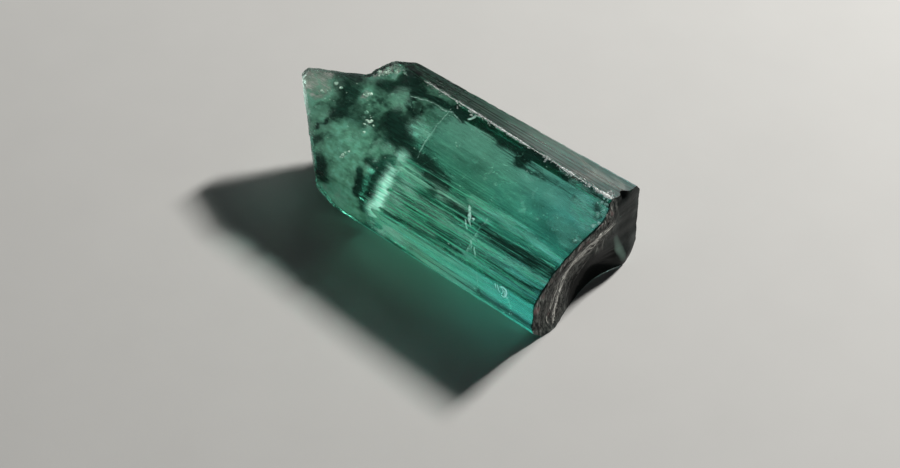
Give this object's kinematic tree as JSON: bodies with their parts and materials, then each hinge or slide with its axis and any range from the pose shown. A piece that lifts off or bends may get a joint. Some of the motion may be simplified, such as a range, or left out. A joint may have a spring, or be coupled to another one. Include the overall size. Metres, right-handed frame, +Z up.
{
  "type": "tourmaline crystal",
  "caption": "Loose green-blue tourmaline crystal: a see-through, lengthwise-grooved prism with a natural point at one end and a shell-like break at the other, lying on a prism face.",
  "frame": {"origin": "bottom centre of the crystal's box, on the face that it rests on", "axes": "+X along the crystal's long axis towards the broken end, +Y towards the upright back face, +Z up from the resting face"},
  "size_m": [0.0324, 0.0132, 0.0081],
  "materials": {
    "tourmaline": "natural glassy crystal, grooved along its length, clear green at the middle, grey-green at the point and teal at the broken end, with healed cracks and chips"
  },
  "bodies": {
    "root": {"tourmaline_crystal": "tourmaline"}
  },
  "joints": []
}
